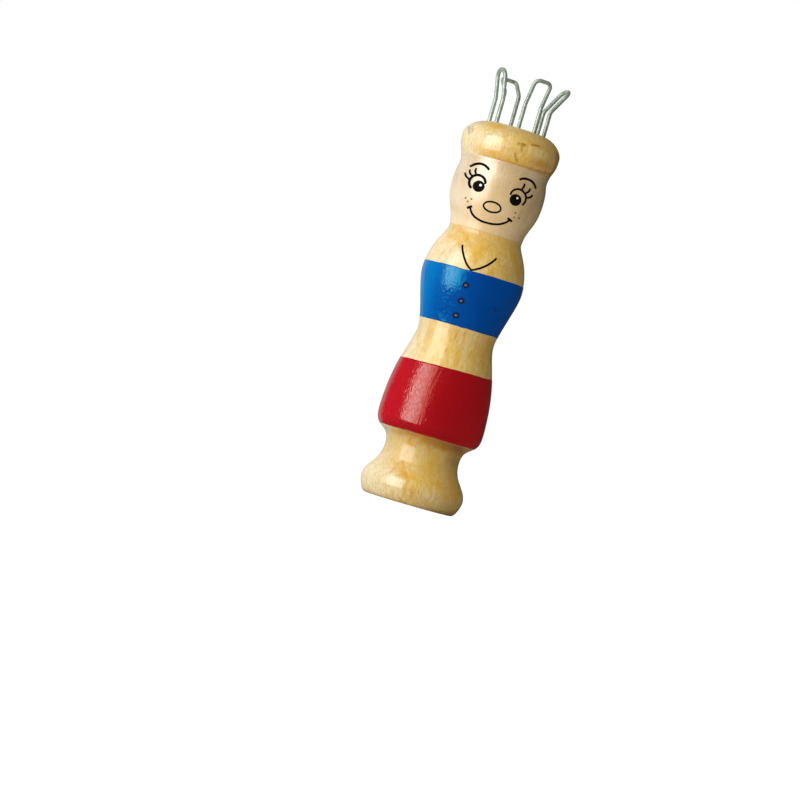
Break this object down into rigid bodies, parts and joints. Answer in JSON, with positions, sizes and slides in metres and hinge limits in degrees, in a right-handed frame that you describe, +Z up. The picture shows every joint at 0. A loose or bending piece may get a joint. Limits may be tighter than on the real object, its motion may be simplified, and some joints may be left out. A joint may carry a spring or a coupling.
{
  "type": "knitting nancy",
  "caption": "Turned wooden knitting doll with a painted face, bodice and skirt, a bore from crown to foot, and bent wire loops round the crown for knitting a cord.",
  "frame": {"origin": "middle of the foot's flat ring, on the axis of the bore", "axes": "+Z up along the bore towards the wire loops, -Y towards the painted face, +X to the right of someone who looks at the face"},
  "size_m": [0.0294, 0.0294, 0.1208],
  "materials": {
    "wood": "clear varnish over turned pale hardwood",
    "wire": "dull zinc-coated steel wire",
    "face_paint": "glossy peach lacquer",
    "blue_paint": "glossy blue lacquer",
    "red_paint": "glossy red lacquer",
    "ink": "hand-drawn black and brown ink lines",
    "white_paint": "small dabs of white lacquer"
  },
  "bodies": {
    "root": {"wooden_body": "wood", "front_loop": "wire", "right_loop": "wire", "back_loop": "wire", "left_loop": "wire"}
  },
  "joints": []
}
